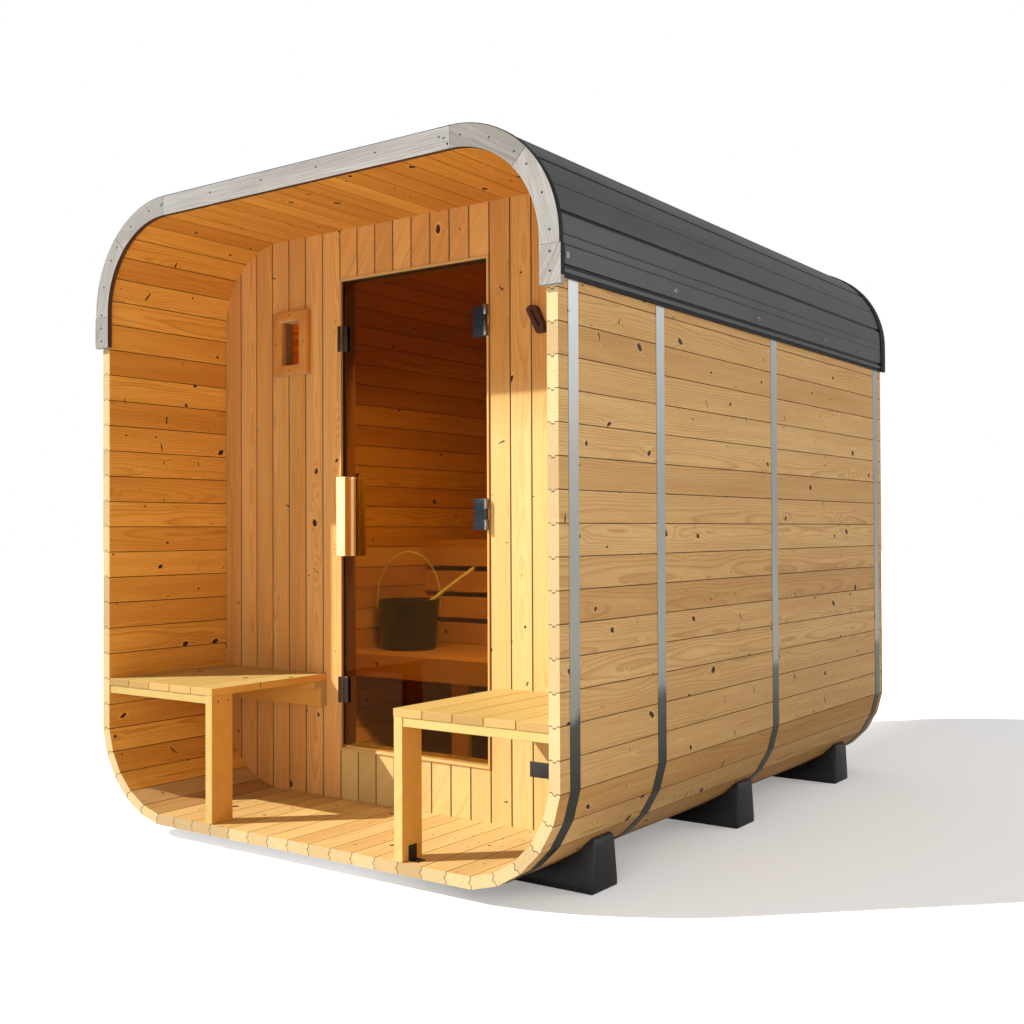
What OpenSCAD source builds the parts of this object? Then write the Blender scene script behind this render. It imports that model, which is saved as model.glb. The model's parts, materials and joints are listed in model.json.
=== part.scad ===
// Cube sauna: a rounded-square shell of long staves held by four steel hoops, with an open porch in front.
// Millimetres, +Z up, front towards -Y, origin on the ground at the centre of the bounding box.

/* [Shell] */
// Cover width of one stave, from joint to joint
stave_w = 100.5; // [98:0.5:103]
// Thickness of a stave
stave_t = 40; // [38:1:45]
// Number of staves across the flat floor and ceiling
staves_across = 15; // [15:1:16]
// Number of staves up each flat side wall
staves_up = 17; // [17:1:18]
// Number of joints that turn each corner
corner_turns = 6; // [5:1:7]
// Length of the staves from front to rear
shell_len = 2820; // [2780:10:3200]
// Gap between neighbouring staves
stave_gap = 0.6; // [0.4:0.1:1.2]
// Radius of the bead on a stave's edge
bead_r = 7; // [5:0.5:9]

/* [Walls] */
// Depth of the open porch
porch_depth = 600; // [580:5:640]
// Thickness of the front and rear walls
wall_t = 45; // [40:1:48]
// Cover width of a wall board
wall_board_w = 94; // [80:1:120]
// Distance from the rear wall to the rear ends of the staves
rear_recess = 55; // [45:5:70]

/* [Door] */
// Outer width of the door frame
frame_w = 752; // [740:2:760]
// Outer height of the door frame
frame_h = 1897; // [1880:1:1900]
// Height of the frame's foot above the underside of the shell
frame_foot = 236; // [230:1:245]
// Distance of the frame's centre line from the middle of the front, to the hinge side
frame_shift = 11; // [0:1:20]
// Thickness of a frame board
frame_board = 20; // [18:1:24]
// Depth of the frame from front to rear
frame_depth = 75; // [70:1:80]
// Thickness of the glass
glass_t = 8; // [6:1:10]

/* [Hoops and roof] */
// Width of a hoop
hoop_w = 56; // [40:1:60]
// Thickness of a hoop
hoop_t = 2; // [1.5:0.5:3]
// Number of ribs in the roof from eave to eave
roof_ribs = 15; // [15:2:17]
// Distance from the start of the upper corners down to the eaves
eave_drop = 120; // [100:1:130]
// Height of the roof's grooves above the staves
groove_h = 7; // [7:0.5:8]
// Height of the roof's panels above the grooves
panel_h = 4; // [3:0.5:5]

/* [Front trim] */
// Thickness of the front trim boards
trim_t = 20; // [18:1:28]
// Distance of the trim's outer edge from the staves
trim_out = 18; // [16:1:22]
// Distance of the trim's inner edge inside the staves' inner face
trim_in = 14; // [6:1:16]

/* [Saddles] */
// Height of the shell's underside above the ground
saddle_h = 52; // [45:1:70]
// Width of a saddle at the ground
saddle_w = 156; // [140:1:160]
// Half length of a saddle
saddle_half = 1003; // [990:1:1010]

/* [Benches] */
// Height of the porch seats above the underside of the shell
porch_seat_z = 537; // [500:1:560]
// Thickness of seat boards
seat_t = 27; // [24:1:30]
// Height of the lower bench inside
low_bench_z = 534; // [500:1:550]
// Height of the upper bench inside
high_bench_z = 1067; // [1040:1:1080]

/* [Hidden] */
$fn = 64;

// Shell section: a polygon of equal staves. Its joints turn by the same angle round each corner, so the corner
// staves touch a circle of radius corner_r, and the flats run on for half a stave past that circle's ends.
lean = 45 / corner_turns;
corner_r = stave_w / 2 / tan(lean);
corner_arc = corner_r * PI / 2;
flat_x = (staves_across - 1) * stave_w;
flat_z = (staves_up - 1) * stave_w;
shell_w = flat_x + 2 * corner_r;
shell_h = flat_z + 2 * corner_r;
z_mid = saddle_h + shell_h / 2;
room_x = shell_w / 2 - stave_t;
floor_z = saddle_h + stave_t;
ceiling_z = saddle_h + shell_h - stave_t;
stave_edge_cut = 1.5;

// Places along the building, measured from the front ends of the staves.
front_y = porch_depth;
rear_y = shell_len - rear_recess - wall_t;
rear_cap = 24;
trim_end = eave_drop + 25;
y_mid = (shell_len + rear_cap - trim_t) / 2;
hoop_y = [54, 597, 1534, 2716];
saddle_y = [388, 1455, 2489];
saddle_top_w = 114;
saddle_rise = 125;
saddle_foot = 22;
saddle_round = 20;
saddle_round_steps = 4;

// Roof profile, measured along the section from the ridge down to the eave.
sheet_t = 2.5;
eave_s = flat_x / 2 + corner_arc + eave_drop;
eave_z = z_mid + flat_z / 2 - eave_drop;
hem_s = 13;
eave_groove_s = 32;
eave_rib_s = 112;
last_rib = (roof_ribs - 1) / 2;
panel_s = (eave_s - eave_rib_s) / last_rib;
rib_to_groove = 106;
groove_half = 6;
groove_run = 2.5;
rib_half = 15;
bead_half = 3;
bead_h = 1.5;
top_ribs = 3;
batten_half = 15;

// Front trim.
trim_early = 10;
trim_joint_z = z_mid + flat_z / 2 - 24;
trim_foot_out = trim_out + 5;
strip_t = 3;

// Door, measured in the building's own x and z.
frame_x0 = frame_shift - frame_w / 2;
frame_x1 = frame_shift + frame_w / 2;
frame_z0 = saddle_h + frame_foot;
frame_z1 = frame_z0 + frame_h;
frame_y = front_y - 6;
lip_w = frame_board / 2;
rebate_d = 24;
glass_gap = 5;
glass_y = frame_y + rebate_d - glass_gap - glass_t;
glass_x0 = frame_x0 + lip_w + glass_gap;
glass_x1 = frame_x1 - lip_w - glass_gap;
glass_z0 = frame_z0 + frame_board;
glass_z1 = frame_z1 - lip_w - glass_gap;
hinge_x = glass_x1 + 7;
hinge_y = frame_y - 10;
hinge_r = 8;
hinge_pin_r = 3;
hinge_z = [saddle_h + 460, saddle_h + 1174, saddle_h + 1891];
hinge_h = 115;
knuckle_h = 39;
clamp_w = 62;
clamp_t = 4;
handle_x = -308;
handle_w = 48;
handle_z = [saddle_h + 1015, saddle_h + 1330];
catch_z = [saddle_h + 478, saddle_h + 1890];
catch_h = 104;
catch_w = 26;
catch_back_at = 12;

// Vent and peg on the front wall.
vent_x = -627;
vent_z = saddle_h + 1896;
vent_hole = [102, 182];
vent_frame_size = [196, 266];
vent_frame_t = 28;
peg_at = [610, saddle_h + 1874];
peg_out = 26;
peg_turn = 30;

// Benches.
seat_z = saddle_h + porch_seat_z;
right_seat_x = 435;
left_seat_x = -443;
seat_boards = 5;
leg_t = 36;
leg_d = 100;
rail_h = 31;
rail_t = 45;
wall_cleat_h = 104;
wall_cleat_t = 35;
back_rail_t = 39;
low_y0 = 1313;
low_y1 = 1950;
low_z = saddle_h + low_bench_z;
high_z = saddle_h + high_bench_z;
skirt_slats = 4;
skirt_gap = 25;
apron_h = 109;

// Pail, bail and ladle on the lower bench.
pail_at = [-857, 1606, low_z];
pail_rim_r = 150;
pail_base_r = 132;
pail_h = 245;
pail_wall = 6;
pail_turn = 35;

WOOD = "burlywood";
DARK = "#33363a";

// ---------- placing ----------

// Shifts the building so that its bounding box is centred over the origin.
module placed() { translate([0, -y_mid, 0]) children(); }

// Extrudes a section drawn in x and z from y0 to y1.
module along_y(y0, y1) {
    placed() translate([0, y1, 0]) rotate([90, 0, 0]) linear_extrude(y1 - y0) children();
}

// Box from its lowest corner and its size, in the building's own measures.
module block(x, y, z, w, d, h) { placed() translate([x, y, z]) cube([w, d, h]); }

// Point of the shell's section at the arc length s from the top centre and at the height h over the staves.
function wrap(s, h) =
    let (a = abs(s), side = s < 0 ? -1 : 1, turn = (a - flat_x / 2) / corner_r * 180 / PI)
    a <= flat_x / 2 ? [s, z_mid + shell_h / 2 + h]
    : turn <= 90 ? [side * (flat_x / 2 + (corner_r + h) * sin(turn)),
                    z_mid + flat_z / 2 + (corner_r + h) * cos(turn)]
    : [side * (shell_w / 2 + h), z_mid + flat_z / 2 - (a - flat_x / 2 - corner_arc)];

// Outline of the staves' outer faces, moved out by h.
module outline(h) {
    r = (corner_r + h) / cos(lean);
    translate([0, z_mid]) polygon([for (turn = [0 : 90 : 270], k = [0 : corner_turns - 1])
        let (g = turn + lean * (2 * k + 1), x = turn < 180 ? 1 : -1, z = turn == 0 || turn == 270 ? 1 : -1)
        [x * flat_x / 2 + r * sin(g), z * flat_z / 2 + r * cos(g)]]);
}

// The same outline with true quarter rounds, for what is bent or sawn round over the staves. The rounds start
// early by the given length and have a larger radius by as much.
module round_outline(h, early = 0) {
    x_flat = flat_x / 2 - early;
    z_flat = flat_z / 2 - early;
    translate([0, z_mid]) {
        square([2 * x_flat, shell_h + 2 * h], center = true);
        square([shell_w + 2 * h, 2 * z_flat], center = true);
        for (x = [-1, 1], z = [-1, 1])
            translate([x * x_flat, z * z_flat]) circle(r = corner_r + h + early, $fn = 96);
    }
}

// The part of a section that lies above the eaves.
module above_eaves() {
    intersection() {
        children();
        translate([-shell_w, eave_z]) square([2 * shell_w, shell_h]);
    }
}

// ---------- shell ----------

// Half circle of a bead or cove on a joint plane that leans by tilt, from the outer to the inner side.
function edge_round(x, z, r, tilt) =
    [for (k = [0 : 6]) [x + r * sin(k * 30 + tilt), z + r * cos(k * 30 + tilt)]];

// Section of a stave: outer face on h = 0, a cove in its left edge and a bead on its right edge, which lean
// inwards by the angles left and right.
function stave_section(left, right) =
    let (a = (stave_w - stave_gap) / 2, c = stave_edge_cut, t = stave_t, kl = tan(left), kr = tan(right),
         cove = edge_round(kl * t / 2 - a, -t / 2, bead_r + 0.4, -left))
    concat(
        [[c - a, 0], [a - c, 0], [a - kr * c, -c]],
        edge_round(a - kr * t / 2, -t / 2, bead_r, right),
        [[a - kr * (t - c), c - t], [a - kr * t - c, -t], [kl * t + c - a, -t], [kl * (t - c) - a, c - t]],
        [for (n = [6 : -1 : 0]) cove[n]],
        [[kl * c - a, -c]]);

// One flat side of the shell, turned clockwise from the top. Its first and last joints turn into the corners.
module flat_staves(turn, count, distance) {
    color(WOOD) along_y(0, shell_len) translate([0, z_mid]) rotate(-turn)
        for (k = [0 : count - 1])
            translate([(k - (count - 1) / 2) * stave_w, distance])
                polygon(stave_section(k == 0 ? lean : 0, k == count - 1 ? lean : 0));
}

// One rounded corner of the shell, turned clockwise from the upper right.
module corner_staves(turn) {
    sideways = turn == 90 || turn == 270;
    at = sideways ? [flat_z / 2, flat_x / 2] : [flat_x / 2, flat_z / 2];
    color(WOOD) along_y(0, shell_len) translate([0, z_mid]) rotate(-turn) translate(at)
        for (k = [1 : corner_turns - 1])
            rotate(-2 * lean * k) translate([0, corner_r]) polygon(stave_section(lean, lean));
}

module ceiling_staves() { flat_staves(0, staves_across, shell_h / 2); }
module right_wall_staves() { flat_staves(90, staves_up, shell_w / 2); }
module floor_staves() { flat_staves(180, staves_across, shell_h / 2); }
module left_wall_staves() { flat_staves(270, staves_up, shell_w / 2); }
module upper_right_corner_staves() { corner_staves(0); }
module lower_right_corner_staves() { corner_staves(90); }
module lower_left_corner_staves() { corner_staves(180); }
module upper_left_corner_staves() { corner_staves(270); }

// A full steel hoop round the shell.
module hoop(y) {
    color("silver") along_y(y, y + hoop_w) difference() {
        outline(hoop_t);
        outline(0);
    }
}

module front_hoop() { hoop(hoop_y[0]); }
module porch_hoop() { hoop(hoop_y[1]); }
module room_hoop() { hoop(hoop_y[2]); }
module rear_hoop() { hoop(hoop_y[3]); }

// Rounded upper end of a saddle's section on one side, from its end face inwards.
function saddle_end(side, top) = [for (k = [0 : saddle_round_steps])
    let (turn = 90 * k / saddle_round_steps)
    [side * (saddle_half - saddle_round * (1 - cos(turn))), top - saddle_round * (1 - sin(turn))]];

// A moulded cradle that tapers upwards and follows the shell round its lower corners.
module saddle(y) {
    top = saddle_h + saddle_rise;
    color(DARK) intersection() {
        along_y(y - saddle_w / 2, y + saddle_w / 2) difference() {
            polygon(concat([[-saddle_half, 0], [saddle_half, 0]], saddle_end(1, top),
                [for (k = [saddle_round_steps : -1 : 0]) saddle_end(-1, top)[k]]));
            outline(0);
        }
        placed() translate([-saddle_half, y, 0]) rotate([90, 0, 90]) linear_extrude(2 * saddle_half)
            polygon([[-saddle_w / 2, 0], [saddle_w / 2, 0], [saddle_w / 2, saddle_foot],
                [saddle_top_w / 2, top], [-saddle_top_w / 2, top], [-saddle_w / 2, saddle_foot]]);
    }
}

module front_saddle() { saddle(saddle_y[0]); }
module middle_saddle() { saddle(saddle_y[1]); }
module rear_saddle() { saddle(saddle_y[2]); }

// ---------- end walls ----------

// Section of a wall board: front face on y = 0, a tongue on its right edge and a groove in its left edge.
function board_section(w) =
    let (a = w / 2 - stave_gap / 2, c = 3, tongue = 8, half = 5, play = 0.4)
    [[-a + c, 0], [a - c, 0], [a, c], [a, wall_t / 2 - half], [a + tongue, wall_t / 2 - half],
     [a + tongue, wall_t / 2 + half], [a, wall_t / 2 + half], [a, wall_t - c], [a - c, wall_t],
     [-a + c, wall_t], [-a, wall_t - c], [-a, wall_t / 2 + half + play], [-a + tongue, wall_t / 2 + half + play],
     [-a + tongue, wall_t / 2 - half - play], [-a, wall_t / 2 - half - play], [-a, c]];

// Upright boards from x0 to x1, cut to the shell's inner outline and to the heights z0 and z1.
module board_wall(y, x0, x1, z0, z1) {
    count = round((x1 - x0) / wall_board_w);
    w = (x1 - x0) / count;
    color(WOOD) intersection() {
        placed() translate([0, y, z0]) linear_extrude(z1 - z0)
            for (k = [0 : count - 1]) translate([x0 + w * (k + 0.5), 0]) polygon(board_section(w));
        along_y(y, y + wall_t) intersection() {
            outline(-stave_t);
            translate([x0, z0]) square([x1 - x0, z1 - z0]);
        }
    }
}

module front_wall_left() {
    difference() {
        board_wall(front_y, -room_x, frame_x0, saddle_h, saddle_h + shell_h);
        block(vent_x - vent_hole[0] / 2, front_y - 1, vent_z - vent_hole[1] / 2,
            vent_hole[0], wall_t + 2, vent_hole[1]);
    }
}
module front_wall_right() { board_wall(front_y, frame_x1, room_x, saddle_h, saddle_h + shell_h); }
module front_wall_over_door() { board_wall(front_y, frame_x0, frame_x1, frame_z1, ceiling_z); }
module front_wall_under_door() { board_wall(front_y, frame_x0, frame_x1, floor_z, frame_z0); }
module rear_wall() { board_wall(rear_y, -room_x, room_x, saddle_h, saddle_h + shell_h); }

// Wooden surround of the vent hole.
module vent_frame() {
    color(WOOD) along_y(front_y - vent_frame_t, front_y) translate([vent_x, vent_z]) difference() {
        square(vent_frame_size, center = true);
        square(vent_hole, center = true);
    }
}

// Slanted wooden peg with a round top, a square-cut foot and a sunk slot.
module wall_peg() {
    color("saddlebrown") difference() {
        along_y(front_y - peg_out, front_y) translate(peg_at)
            polygon([[-42, 33], [-34, 43], [-20, 49], [-6, 46], [3, 38], [33, -24], [33, -54], [2, -55]]);
        along_y(front_y - peg_out - 1, front_y - peg_out + 10)
            translate(peg_at) rotate(peg_turn) square([9, 72], center = true);
    }
}

// ---------- roof ----------

// Middle of the groove below a rib. The lowest is the joint over the flange at the eave.
function groove_at(m) = m == last_rib ? eave_s - eave_groove_s : m * panel_s + rib_to_groove;

// Points of a groove's bottom and of a bead: distances from the ridge and heights over the grooves.
function groove(m) = [for (side = [-1, 1]) [groove_at(m) + side * (groove_half - groove_run), 0]];
function bead(s) = [[s - bead_half, panel_h], [s, panel_h + bead_h], [s + bead_half, panel_h]];

// One panel from its upper to its lower edge: two beads make its rib, and plain points let it bend round the
// corner. The panel over the ridge starts in its middle.
function panel_line(m) =
    let (mid = m * panel_s, side = rib_half + bead_half, low = groove_at(m) - groove_half,
         high = m == 0 ? 0 : groove_at(m - 1) + groove_half)
    concat(
        m == 0 ? [] : concat([for (k = [0 : 2]) [high + (mid - side - high) * k / 3, panel_h]],
            bead(mid - rib_half)),
        bead(mid + rib_half),
        [for (k = [1 : 4]) [mid + side + (low - mid - side) * k / 4, panel_h]]);

// Sheet over the panels from first to last on one side, bent round the corner, with what comes above and below.
function half_sheet(side, first, last, head, tail) =
    let (panels = [for (m = [first : last]) each concat(panel_line(m), m < last ? groove(m) : [])],
         line = concat(head, panels, tail))
    concat([for (p = line) wrap(side * p[0], groove_h + sheet_t + p[1])],
        [for (k = [len(line) - 1 : -1 : 0]) wrap(side * line[k][0], groove_h + line[k][1])]);

module side_roof_sheet(side) {
    lap = groove_at(top_ribs);
    color(DARK) along_y(0, shell_len) polygon(half_sheet(side, top_ribs + 1, last_rib,
        [[lap - batten_half, 0], [lap + groove_half - groove_run, 0]],
        concat(groove(last_rib), [[groove_at(last_rib) + groove_half, panel_h], [eave_s - hem_s, panel_h]])));
}

module left_roof_sheet() { side_roof_sheet(-1); }
module right_roof_sheet() { side_roof_sheet(1); }
module top_roof_sheet() {
    color(DARK) along_y(0, shell_len)
        for (side = [-1, 1]) polygon(half_sheet(side, 0, top_ribs, [[0, panel_h]], []));
}

// Battens under the grooves, which carry the sheets over the hoops.
module roof_battens() {
    flat = groove_half - groove_run;
    color(WOOD) along_y(4, shell_len - 4) difference() {
        for (side = [-1, 1], m = [0 : last_rib - 1])
            polygon([for (p = [-batten_half, -flat, flat, batten_half]) wrap(side * (groove_at(m) + p), groove_h),
                for (p = [batten_half, -batten_half]) wrap(side * (groove_at(m) + p), 0)]);
        outline(hoop_t);
    }
}

// Strips behind the sheets' lower edges, which stand out below them.
module eave_strips() {
    strip_h = hem_s + 9;
    depth = groove_h + panel_h;
    color("black") along_y(2, shell_len - 2) for (side = [-1, 1])
        polygon([for (p = [[strip_h, hoop_t], [0, hoop_t], [0, depth], [strip_h, depth]])
            wrap(side * (eave_s - p[0]), p[1])]);
}

// Angle that closes the rear ends of the sheets and stands out behind the staves.
module roof_rear_trim() {
    top = groove_h + sheet_t + panel_h + bead_h + 0.5;
    color("black") {
        along_y(shell_len - 30, shell_len + rear_cap) above_eaves() difference() {
            round_outline(top + 3);
            round_outline(top);
        }
        along_y(shell_len, shell_len + 3) above_eaves() difference() {
            round_outline(top);
            round_outline(-6);
        }
        along_y(shell_len + rear_cap - 3, shell_len + rear_cap) above_eaves() difference() {
            round_outline(top);
            round_outline(2);
        }
    }
}

// ---------- front trim ----------

// Band of the trim's face, out to the given distance from the staves.
module trim_band(out) {
    difference() {
        round_outline(out, trim_early);
        round_outline(-stave_t - trim_in, trim_early);
    }
}

// Wedge of a corner between the turns a and b, measured from upright towards the side.
module corner_wedge(side, a, b) {
    far = 3 * corner_r;
    translate([side * (flat_x / 2 - trim_early), z_mid + flat_z / 2 - trim_early])
        polygon([[0, 0], [side * far * sin(a), far * cos(a)], [side * far * sin(b), far * cos(b)]]);
}

// Part of one side between the heights z0 and z1.
module side_region(side, z0, z1) { translate([side * shell_w / 2 - 150, z0]) square([300, z1 - z0]); }

module side_front_trim(side) {
    gap = 0.15;
    start_z = z_mid + flat_z / 2;
    color("lightgrey") along_y(-trim_t, 0) {
        intersection() {
            trim_band(trim_out);
            union() {
                corner_wedge(side, gap, 45 - gap);
                corner_wedge(side, 45 + gap, 90);
                side_region(side, trim_joint_z, start_z - trim_early + 1);
            }
        }
        intersection() {
            trim_band(trim_foot_out);
            side_region(side, start_z - trim_end, trim_joint_z - 1);
        }
    }
}

module left_front_trim() { side_front_trim(-1); }
module right_front_trim() { side_front_trim(1); }
module top_front_trim() {
    color("lightgrey") along_y(-trim_t, 0) intersection() {
        trim_band(trim_out);
        translate([0, z_mid + shell_h / 2]) square([flat_x - 2 * trim_early - 1, 300], center = true);
    }
}

// Thin band outside the given outline of the trim, between the heights z0 and z1.
module strip_band(out, z0, z1) {
    intersection() {
        difference() {
            round_outline(out + strip_t, trim_early);
            round_outline(out, trim_early);
        }
        translate([-shell_w, z0]) square([2 * shell_w, z1 - z0]);
    }
}

// Dark strip round the outer edge of the trim.
module front_edge_strip() {
    color("black") along_y(-trim_t + 2, 0) {
        strip_band(trim_out, trim_joint_z, shell_h + shell_w);
        strip_band(trim_foot_out, eave_z, trim_joint_z - 1);
    }
}

// ---------- door frame and door ----------

// Rectangle of the frame's opening, inset by d.
module frame_rect(d) {
    translate([frame_x0 + d, frame_z0 + d]) square([frame_w - 2 * d, frame_h - 2 * d]);
}

// One mitred member of the rebated frame: the part of it that lies in the given region.
module frame_member(region) {
    color("peru") {
        along_y(frame_y, frame_y + rebate_d) intersection() {
            difference() { frame_rect(0); frame_rect(lip_w); }
            polygon(region);
        }
        along_y(frame_y + rebate_d, frame_y + frame_depth) intersection() {
            difference() { frame_rect(0); frame_rect(frame_board); }
            polygon(region);
        }
    }
}

inner_x0 = frame_x0 + frame_board;
inner_x1 = frame_x1 - frame_board;
inner_z0 = frame_z0 + frame_board;
inner_z1 = frame_z1 - frame_board;
module frame_latch_jamb() {
    frame_member([[frame_x0, frame_z0], [inner_x0, inner_z0], [inner_x0, inner_z1], [frame_x0, frame_z1]]);
}
module frame_hinge_jamb() {
    frame_member([[frame_x1, frame_z0], [frame_x1, frame_z1], [inner_x1, inner_z1], [inner_x1, inner_z0]]);
}
module frame_head() {
    frame_member([[frame_x0, frame_z1], [inner_x0, inner_z1], [inner_x1, inner_z1], [frame_x1, frame_z1]]);
}
module frame_sill() {
    frame_member([[frame_x0, frame_z0], [frame_x1, frame_z0], [inner_x1, inner_z0], [inner_x0, inner_z0]]);
}

module door_glass() {
    color("peru", 0.4) block(glass_x0, glass_y, glass_z0, glass_x1 - glass_x0, glass_t, glass_z1 - glass_z0);
}

// Fixed knuckles, pins and leaves of the three hinges.
module hinge_barrels() {
    side_h = (hinge_h - knuckle_h - 1) / 2;
    color("silver") for (z = hinge_z) {
        placed() translate([hinge_x, hinge_y, z - hinge_h / 2]) cylinder(r = hinge_pin_r, h = hinge_h);
        for (low = [z - hinge_h / 2, z + hinge_h / 2 - side_h]) {
            placed() translate([hinge_x, hinge_y, low]) cylinder(r = hinge_r, h = side_h);
            block(hinge_x, hinge_y, low, frame_x1 - hinge_x, frame_y - hinge_y, side_h);
        }
    }
}

// Clamp plates on both faces of the glass with the turning knuckle of each hinge.
module hinge_clamps() {
    color("dimgray") for (z = hinge_z) {
        block(glass_x1 - clamp_w, glass_y - clamp_t, z - hinge_h / 2, clamp_w, clamp_t, hinge_h);
        block(glass_x1 - clamp_w, glass_y + glass_t, z - hinge_h / 2, clamp_w - 15, clamp_t, hinge_h);
        difference() {
            union() {
                placed() translate([hinge_x, hinge_y, z - knuckle_h / 2]) cylinder(r = hinge_r, h = knuckle_h);
                block(hinge_x - hinge_r, hinge_y, z - knuckle_h / 2, 6, glass_y - hinge_y - clamp_t, knuckle_h);
                block(glass_x1 - 12, glass_y - clamp_t - 5, z - knuckle_h / 2, 12, 5, knuckle_h);
            }
            placed() translate([hinge_x, hinge_y, z - hinge_h / 2]) cylinder(r = hinge_pin_r + 0.05, h = hinge_h);
        }
    }
}

// Section of a grip: a flat front plate, a waist and a back flange that lies on the glass.
function grip_section(d) = [
    [-handle_w / 2, 0], [handle_w / 2, 0], [handle_w / 2, 14], [handle_w / 2 - 11, 18],
    [handle_w / 2 - 11, d - 22], [handle_w / 2, d - 18], [handle_w / 2, d], [-handle_w / 2, d],
    [-handle_w / 2, d - 18], [-handle_w / 2 + 11, d - 22], [-handle_w / 2 + 11, 18], [-handle_w / 2, 14]];

module door_handle() {
    color("burlywood") placed() {
        translate([handle_x, glass_y, handle_z[0]]) mirror([0, 1, 0])
            linear_extrude(handle_z[1] - handle_z[0]) polygon(grip_section(65));
        translate([handle_x, glass_y + glass_t, handle_z[0]])
            linear_extrude(handle_z[1] - handle_z[0]) polygon(grip_section(50));
    }
}

// Catches on the glass and their keepers on the frame.
module door_catches() {
    color("black") for (z = catch_z) {
        block(glass_x0, glass_y - 9, z - catch_h / 2, catch_w, 9, catch_h);
        block(glass_x0 + catch_back_at, glass_y + glass_t, z - catch_h / 2, catch_w - catch_back_at, 4, catch_h);
    }
}
module catch_keepers() {
    color("black") for (z = catch_z)
        block(frame_x0 - 4, frame_y - 6, z - catch_h / 2, lip_w + 4, 6, catch_h);
}

// ---------- benches ----------

// Boards side by side from x0 to x1, lying along y.
module seat_boards_x(x0, x1, y, len, z, count) {
    gap = 4;
    w = (x1 - x0 - (count - 1) * gap) / count;
    color(WOOD) for (k = [0 : count - 1]) block(x0 + k * (w + gap), y, z - seat_t, w, len, seat_t);
}

// Boards one behind the other from y0 to y1, lying along x.
module seat_boards_y(y0, y1, z, count) {
    gap = 4;
    w = (y1 - y0 - (count - 1) * gap) / count;
    color(WOOD) for (k = [0 : count - 1]) block(-room_x, y0 + k * (w + gap), z - seat_t, 2 * room_x, w, seat_t);
}

// Leg at the inner front corner with the front rail, and a cleat on the front wall with a rail along it.
module porch_seat_frame(x_leg, side) {
    top = seat_z - seat_t;
    rail_len = room_x - abs(x_leg);
    low = side > 0 ? x_leg : -room_x;
    color(WOOD) {
        block(side > 0 ? x_leg : x_leg - leg_t, 0, floor_z, leg_t, leg_d, top - floor_z);
        block(low, 4, top - rail_h, rail_len, rail_t, rail_h);
        block(low, front_y - wall_cleat_t, top - wall_cleat_h, rail_len, wall_cleat_t, wall_cleat_h);
        block(low, front_y - wall_cleat_t - back_rail_t, top - rail_h, rail_len, back_rail_t, rail_h);
    }
}

module right_porch_seat() { seat_boards_x(right_seat_x, room_x, 0, front_y, seat_z, seat_boards); }
module left_porch_seat() { seat_boards_x(-room_x, left_seat_x, 0, front_y, seat_z, seat_boards); }
module right_porch_seat_frame() { porch_seat_frame(right_seat_x + 2, 1); }
module left_porch_seat_frame() { porch_seat_frame(left_seat_x, -1); }

// Small angle that fixes the foot of the right leg to the floor.
module seat_foot_bracket() {
    x = right_seat_x + 2 + leg_t;
    color("dimgray") {
        block(x, 30, floor_z, 3, 40, 50);
        block(x, 30, floor_z, 40, 40, 3);
    }
}

module low_bench_seat() { seat_boards_y(low_y0 + 27, low_y1, low_z, 5); }

// Apron, legs and wall cleats of the lower bench.
module low_bench_frame() {
    color(WOOD) {
        block(-room_x, low_y0, low_z - apron_h, 2 * room_x, 27, apron_h);
        for (x = [-384, 286]) block(x, low_y0 + 27, floor_z, 98, 27, low_z - seat_t - floor_z);
        for (x = [-room_x, room_x - rail_t])
            block(x, low_y0 + 27, low_z - seat_t - 60, rail_t, low_y1 - low_y0 - 27, 60);
    }
}

module high_bench_seat() { seat_boards_y(low_y1, rear_y, high_z, 7); }

// Uprights and wall cleats of the upper bench.
module high_bench_frame() {
    top = high_z - seat_t;
    color(WOOD) {
        intersection() {
            union() for (x = [-room_x, -rail_t / 2, room_x - rail_t])
                block(x, low_y1 + 27, floor_z, rail_t, rail_t, top - floor_z);
            along_y(low_y1, rear_y) outline(-stave_t);
        }
        for (x = [-room_x, -rail_t / 2, room_x - rail_t])
            block(x, low_y1 + 27, top - 60, rail_t, rear_y - low_y1 - 27, 60);
    }
}

// Level slats that close the upper bench's front.
module high_bench_skirt() {
    slat_h = (high_z - seat_t - low_z - (skirt_slats - 1) * skirt_gap) / skirt_slats;
    color(WOOD) for (k = [0 : skirt_slats - 1])
        block(-room_x, low_y1, low_z + k * (slat_h + skirt_gap), 2 * room_x, 27, slat_h);
}

// ---------- pail ----------

module at_pail() { placed() translate(pail_at) rotate(pail_turn) children(); }

module pail() {
    color("black") at_pail() rotate_extrude() polygon([[0, 0], [pail_base_r, 0], [pail_rim_r, pail_h],
        [pail_rim_r - pail_wall, pail_h], [pail_base_r - pail_wall, pail_wall], [0, pail_wall]]);
}

// Bent wooden bail over the pail, with its ends on the pail's sides.
module pail_bail() {
    rise = 236;
    steps = 24;
    bail_r = pail_rim_r;
    function arch(a, b) = [for (k = [0 : steps]) [a * cos(180 * k / steps), pail_h + b * sin(180 * k / steps)]];
    color("peru") at_pail() translate([0, 12, 0]) rotate([90, 0, 0]) linear_extrude(24)
        polygon(concat([[bail_r + 7, pail_h - 45]], arch(bail_r + 7, rise), [[-bail_r - 7, pail_h - 45],
            [-bail_r, pail_h - 45]], [for (k = [steps : -1 : 0]) arch(bail_r, rise - 7)[k]], [[bail_r, pail_h - 45]]));
}

// Ladle that stands in the pail and leans on its rim.
module ladle() {
    aside = -40;
    rise = 37;
    grip_r = 9;
    reach = sqrt(pow(pail_rim_r - pail_wall, 2) - pow(aside - grip_r, 2));
    color("burlywood") at_pail() translate([reach, aside, pail_h + grip_r / cos(rise) + 1])
        rotate([0, 90 - rise, 0]) translate([0, 0, -200]) cylinder(r = grip_r, h = 436);
}

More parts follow.
